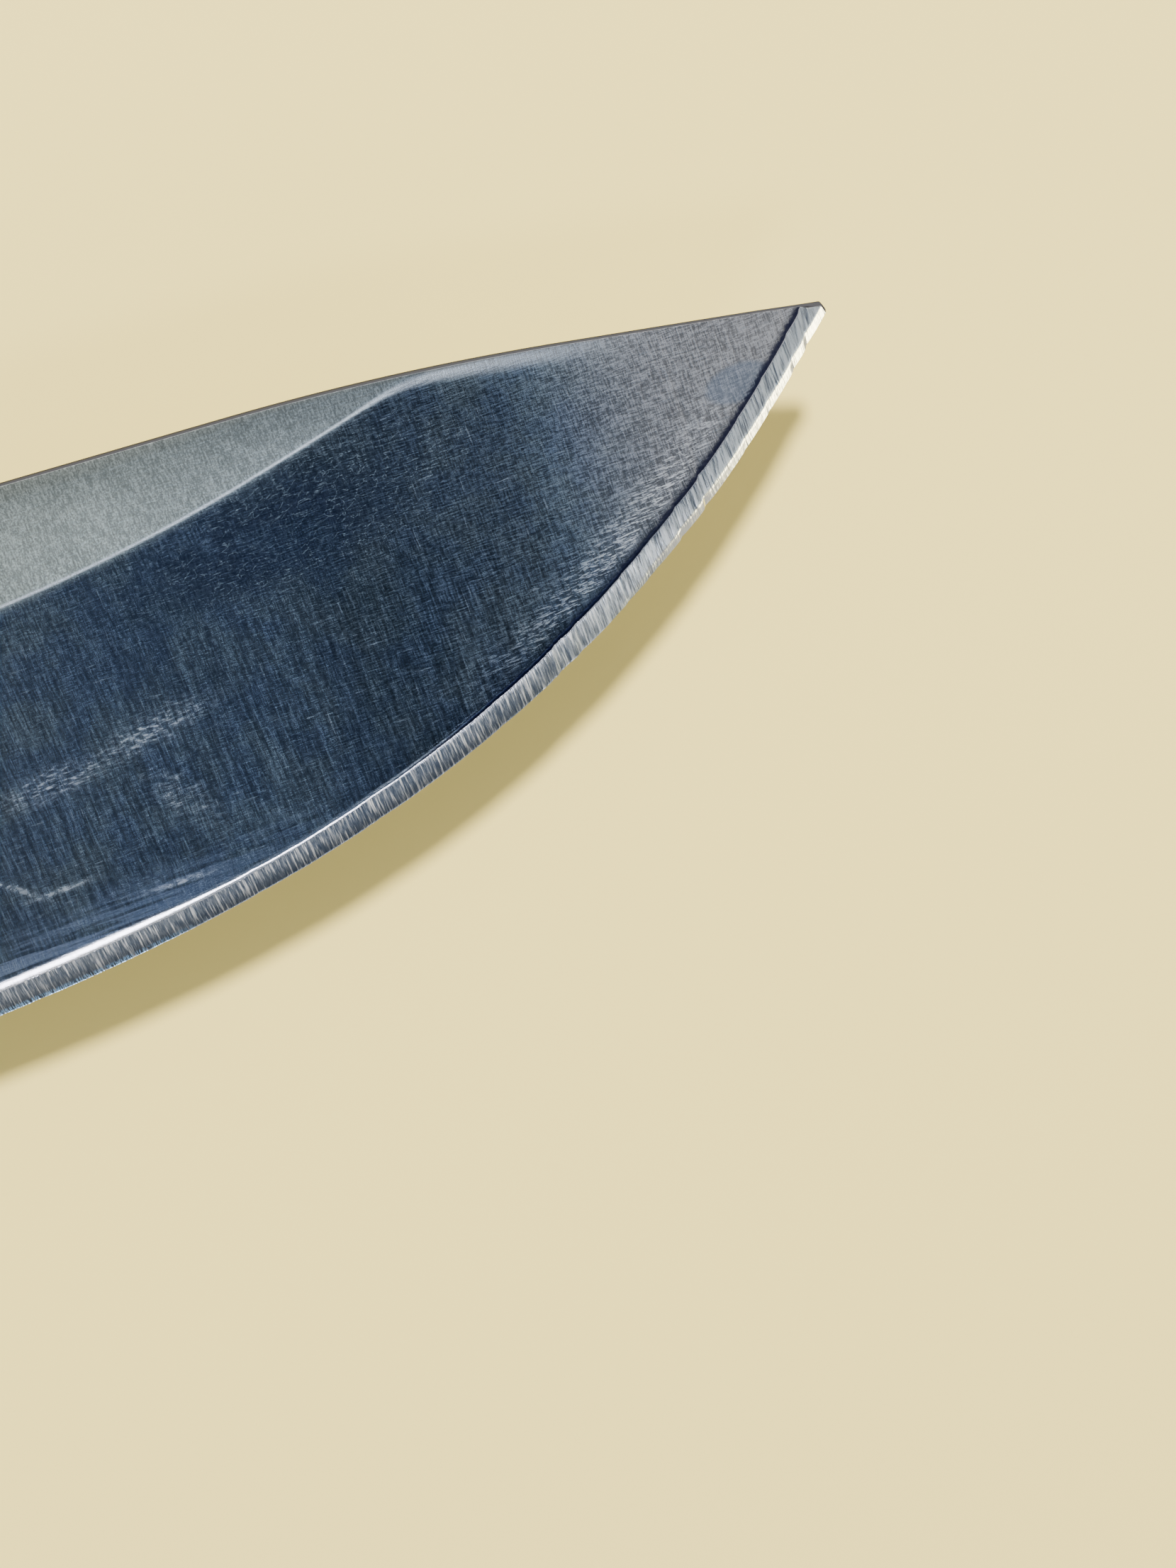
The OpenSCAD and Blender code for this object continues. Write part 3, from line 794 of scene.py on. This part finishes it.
def steel_material():
    mat, n, shader = new_material("satin_steel", Steel)

    cloth, towards_tip = n.weave()
    buff_and_sheen, scuffs = n.buff_and_sheen(), n.scuffs()
    color = n.mix(n.ground, n.flats(), n.hollow(cloth, towards_tip))
    # The buffed streaks are painted light bluish, as a painted sheen.
    color = n.mix(n.times(buff_and_sheen, 0.75), color, (0.50, 0.59, 0.78))
    color = n.mix(n.times(scuffs, 0.6), color, (0.60, 0.66, 0.72))

    # The ridge carries a painted highlight, which spreads where it runs out along the spine.
    spread = n.ramp(n.from_tip, 27.0, 17.0, 0.14, 0.75)
    ridge = n.times(n.bump_at(n.math("DIVIDE", n.below_ridge, spread), 0.0, 1.0),
                    n.ramp(n.from_tip, 11.0, 17.0), n.ramp(n.from_tip, 27.0, 17.0, 0.9, 0.55),
                    n.ramp(n.x, PLUNGE_X + 2, PLUNGE_X + PLUNGE_LEN))
    color = n.mix(ridge, color, (0.92, 0.96, 1.0))

    # A painted dark reflection lies as a line just inside the bevel, ragged on its inner side.
    ragged = n.ramp(n.math("ADD", n.rub, n.belt), 0.8, 1.2, 0.7, 1.3)
    dark_w = n.times(n.ramp(n.from_tip, 12.0, 36.0, 0.33, 0.12), ragged)
    dark = n.times(n.ramp(n.math("DIVIDE", n.from_shoulder, dark_w), 0.5, 1.5, 1.0, 0.0),
                   n.ramp(n.from_tip, 26.0, 37.0, 0.94, 0.0))
    color = n.mix(dark, color, (0.010, 0.013, 0.05))

    # The stone stops short of the polished shoulder towards the handle.
    stop = n.ramp(n.from_tip, 28.0, 50.0, 0.0, -0.28)
    stoned = n.math("SUBTRACT", n.from_shoulder, stop)
    on_bevel = n.ramp(stoned, -0.06, 0.0, 1.0, 0.0)
    stoned_color, burnish_and_highlight, glints = n.bevel()
    color = n.mix(on_bevel, color, stoned_color)
    # The polished shoulder is glossy, and is also painted light as a highlight.
    polish_and_highlight = n.times(n.ramp(n.from_shoulder, 0.05, 0.3, 1.0, 0.0), n.ramp(stoned, -0.03, 0.02))
    color = n.mix(n.times(polish_and_highlight, n.ramp(n.from_tip, 24.0, 34.0, 0.0, 0.9)), color, (0.84, 0.85, 0.90))
    # A thin painted highlight marks where the stone begins.
    color = n.mix(n.times(n.bump_at(stoned, 0.0, 0.045), 0.85), color, (0.95, 0.95, 0.97))

    # The spine's rounded corner is painted dark grey as shade, and near black and not metallic towards the
    # point.
    corner_w = n.ramp(n.from_tip, 0.9, 1.6, 0.24, 0.10)
    corner = n.ramp(n.math("DIVIDE", n.from_spine, corner_w), 0.9, 1.3, 0.96, 0.0)
    spine_shade = n.times(corner, n.ramp(n.from_tip, 55.0, 100.0, 1.0, 0.0))
    color = n.mix(corner, color, (0.26, 0.27, 0.29))
    color = n.mix(spine_shade, color, (0.035, 0.035, 0.040))
    n.put(shader.inputs["Base Color"], color)
    n.put(shader.inputs["Metallic"], n.math("SUBTRACT", 1.0, spine_shade))
    shader.inputs["Specular IOR Level"].default_value = 0.0

    rough_flat = n.math("MULTIPLY_ADD", n.belt, 0.14, 0.14)
    rough_hollow = n.math("MULTIPLY_ADD", cloth, 0.10, 0.10)
    rough = n.blend(n.ground, rough_flat, rough_hollow)
    rough = n.blend(scuffs, rough, 0.5)
    rough = n.blend(n.most(polish_and_highlight, n.times(buff_and_sheen, 0.5)), rough, 0.12)
    rough_bevel = n.blend(n.most(burnish_and_highlight, glints), n.ramp(n.stone, 0.35, 0.65, 0.16, 0.34), 0.12)
    rough = n.blend(on_bevel, rough, rough_bevel)
    rough = n.blend(spine_shade, n.blend(corner, rough, 0.42), 1.0)
    n.put(shader.inputs["Roughness"], rough)

    relief = n.math("MULTIPLY_ADD", n.rub, 0.6, n.math("MULTIPLY_ADD", n.belt_fine, 0.4, n.belt))
    n.relief(shader, n.blend(on_bevel, relief, n.math("MULTIPLY", n.stone, 2.2)), 0.4, 0.02)
    shader.inputs["Anisotropic"].default_value = 0.45
    tangent = n.add("ShaderNodeTangent", direction_type="UV_MAP", uv_map="flat")
    n.link(tangent.outputs[0], shader.inputs["Tangent"])
    return mat


def tang_material():
    mat, n, shader = new_material("tang_steel_edge")
    lines = n.drawn_out(n.knife_mm(), (6.0, 1.0, 0.6), 3.0, 0.6)
    shade = n.ramp(lines, 0.3, 0.7, 0.20, 0.40)
    n.put(shader.inputs["Base Color"], n.vector(shade, shade, n.math("MULTIPLY", shade, 1.03)))
    shader.inputs["Metallic"].default_value = 1.0
    n.put(shader.inputs["Roughness"], n.ramp(lines, 0.2, 0.8, 0.20, 0.34))
    n.relief(shader, lines, 0.3, 0.02)
    return mat


def brass_material():
    mat, n, shader = new_material("satin_brass")
    here = n.knife_mm()
    lines = n.drawn_out(here, (0.8, 8.0, 8.0), 3.0, 0.6)
    cloud = n.noise(n.vector(*here), 4.0, 0.6, scale=0.35)
    color = n.mix(n.ramp(cloud, 0.35, 0.7), (0.68, 0.46, 0.15), (0.46, 0.29, 0.09))
    n.put(shader.inputs["Base Color"], color)
    shader.inputs["Metallic"].default_value = 1.0
    dulled = n.ramp(cloud, 0.3, 0.8, 0.16, 0.28)
    n.put(shader.inputs["Roughness"], n.math("MULTIPLY_ADD", lines, 0.18, dulled))
    n.relief(shader, lines, 0.25, 0.02)
    return mat


def rosewood_material():
    mat, n, shader = new_material("oiled_rosewood")
    here = x, y, z = n.knife_mm()
    # Growth rings wander as they run along the handle.
    wander = n.drawn_out(here, (0.03, 0.08, 0.08), 3.0)
    across = n.math("MULTIPLY_ADD", wander, 6.0, n.math("MULTIPLY", y, 0.55))
    rings = n.drawn_out((x, across, z), (0.012, 1.0, 0.55), 5.0, 0.62)
    fibre = n.drawn_out(here, (0.12, 5.0, 5.0), 3.0, 0.6)
    pore = n.ramp(n.drawn_out(here, (0.35, 7.0, 7.0), 1.0), 0.66, 0.72)
    color = n.mix(n.ramp(rings, 0.36, 0.62), (0.105, 0.028, 0.010), (0.022, 0.007, 0.004))
    color = n.mix(n.ramp(fibre, 0.3, 0.75, 0.0, 0.5), color, (0.15, 0.045, 0.016))
    color = n.mix(n.math("MULTIPLY", pore, 0.75), color, (0.02, 0.008, 0.005))
    n.put(shader.inputs["Base Color"], color)
    n.put(shader.inputs["Roughness"], n.math("MULTIPLY_ADD", fibre, 0.2, 0.38))
    shader.inputs["Coat Weight"].default_value = 0.12
    shader.inputs["Coat Roughness"].default_value = 0.25
    n.relief(shader, n.math("SUBTRACT", n.math("MULTIPLY", fibre, 0.3), pore), 0.5, 0.08)
    return mat


def fibre_material():
    mat, n, shader = new_material("black_fibre")
    x, y, z = n.knife_mm()
    grain = n.noise(n.vector(x, y, n.math("MULTIPLY", z, 3.0)), 3.0, scale=2.5)
    n.put(shader.inputs["Base Color"], n.mix(grain, (0.012, 0.012, 0.013), (0.05, 0.047, 0.045)))
    n.put(shader.inputs["Roughness"], n.ramp(grain, 0.2, 0.8, 0.45, 0.65))
    return mat


def floor_material():
    mat, n, shader = new_material("pale_floor")
    shader.inputs["Base Color"].default_value = (0.79, 0.645, 0.20, 1.0)
    shader.inputs["Roughness"].default_value = 0.85
    return mat


def dress(obj, mat):
    obj.data.materials.clear()
    obj.data.materials.append(mat)


# ---------------------------------------------------------------- the pieces
def show(obj, mat, slot, *nodes):
    dress(obj, mat)
    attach(obj, "root")
    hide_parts(*nodes)


steel, brass, wood, fibre = steel_material(), brass_material(), rosewood_material(), fibre_material()
show(make_blade(), steel, "blade_steel", "blade")
show(make_tang(), tang_material(), "blade_steel", "blade")
for side in ("left", "right"):
    show(make_bolster(side), brass, "bolster_brass", f"bolster_{side}")
    show(make_liner(side), fibre, "liner_fibre", f"liner_{side}")
    show(make_scale(side), wood, "scale_rosewood", f"scale_{side}")
for depth in PIN_DEPTHS:
    show(make_pin(depth), brass, "pin_brass", f"bolster_pin_{depth}")
for where, distance in RIVETS.items():
    show(make_rivet_male(where, distance), brass, "rivet_brass", f"rivet_{where}_male")
    show(make_rivet_female(where, distance), brass, "rivet_brass", f"rivet_{where}_female")
show(make_tube(), brass, "tube_brass", "hang_tube")


# ---------------------------------------------------------------- floor, light and camera
def make_floor():
    half = 1.5
    floor = mesh_object("floor", [(-half, -half, 0), (half, -half, 0), (half, half, 0), (-half, half, 0)],
                        [(0, 1, 2, 3)])
    dress(floor, floor_material())


def area_light(name, place_at, aim, size, power, color):
    data = bpy.data.lights.new(name, "AREA")
    data.shape, data.size, data.energy, data.color = "DISK", size, power, color
    lamp = bpy.data.objects.new(name, data)
    lamp.location = place_at
    lamp.rotation_euler = (Vector(aim) - Vector(place_at)).to_track_quat("-Z", "Y").to_euler()
    bpy.context.scene.collection.objects.link(lamp)


def make_world():
    """Soft studio surroundings: pale walls, a grey ceiling, and cards and lamps for the steel to mirror."""
    world = bpy.data.worlds.new("studio")
    bpy.context.scene.world = world
    world.use_nodes = True
    n = Nodes(world.node_tree)
    back = world.node_tree.nodes["Background"]
    way = n.add("ShaderNodeTexCoord").outputs["Generated"]
    split = n.add("ShaderNodeSeparateXYZ")
    n.link(way, split.inputs[0])
    rz = split.outputs[2]

    def patch(color, paint, towards, inner, outer, wide=1.0):
        """Paints an oval of the surroundings, wide times as long along x as it is tall."""
        centre = Vector(towards).normalized()
        away = n.add("ShaderNodeVectorMath", operation="LENGTH")
        offset = n.vector(*[n.math("MULTIPLY_ADD", split.outputs[i], k, -centre[i] * k)
                            for i, k in enumerate((1 / wide, 1.0, 1.0))])
        n.link(offset, away.inputs[0])
        return n.mix(n.ramp(away.outputs["Value"], inner, outer, 1.0, 0.0), color, paint)

    color = n.mix(n.ramp(rz, 0.75, 0.97), (0.62, 0.62, 0.60), (0.50, 0.52, 0.53))
    # Overhead: a pale card, a dark blue flag and a narrow lamp between them.
    color = patch(color, (0.68, 0.69, 0.71), (0.30, -0.20, 0.93), 0.05, 0.24)
    color = patch(color, (0.08, 0.125, 0.20), (0.0, -0.30, 0.95), 0.10, 0.17, 2.0)
    color = patch(color, (2.4, 2.75, 3.2), (-0.04, -0.13, 0.99), 0.015, 0.05, 4.0)
    # Low over the edge's side: a blue card and a grey one.
    color = patch(color, (0.26, 0.33, 0.45), (0.12, -0.70, 0.71), 0.10, 0.22)
    color = patch(color, (0.52, 0.53, 0.56), (-0.18, -0.82, 0.55), 0.05, 0.24)
    # Lamps: one for the bevel, one for its shoulder, and a warm one for the burnished apex.
    color = patch(color, (3.2, 3.4, 3.5), (0.60, -0.44, 0.67), 0.03, 0.17)
    color = patch(color, (14.0, 14.0, 15.5), (-0.10, -0.49, 0.87), 0.06, 0.12, 1.8)
    color = patch(color, (13.0, 12.0, 7.8), (0.70, -0.60, 0.385), 0.08, 0.16)
    n.put(back.inputs["Color"], color)
    back.inputs["Strength"].default_value = 1.0


def make_camera():
    # Where the camera is, from the point: towards the handle, towards the spine and up.
    behind_tip, above_tip, height = 24.5, 6.9, 128.1
    tilt = (-11.41, -5.58, -15.79)
    tip = Vector(place((BLADE_LEN, TIP_Y, 0)).tolist())
    data = bpy.data.cameras.new("camera")
    data.lens, data.sensor_width = 54, 36
    data.clip_start = 0.01
    cam = bpy.data.objects.new("camera", data)
    cam.location = tip + Vector((-behind_tip, above_tip, height)) * MM
    cam.rotation_euler = Euler([math.radians(a) for a in tilt], "XYZ")
    bpy.context.scene.collection.objects.link(cam)
    bpy.context.scene.camera = cam


make_floor()
make_world()
area_light("key", (0.20, 0.60, 1.00), (0.08, 0, 0), 0.12, 38, (1.0, 0.96, 0.88))
make_camera()
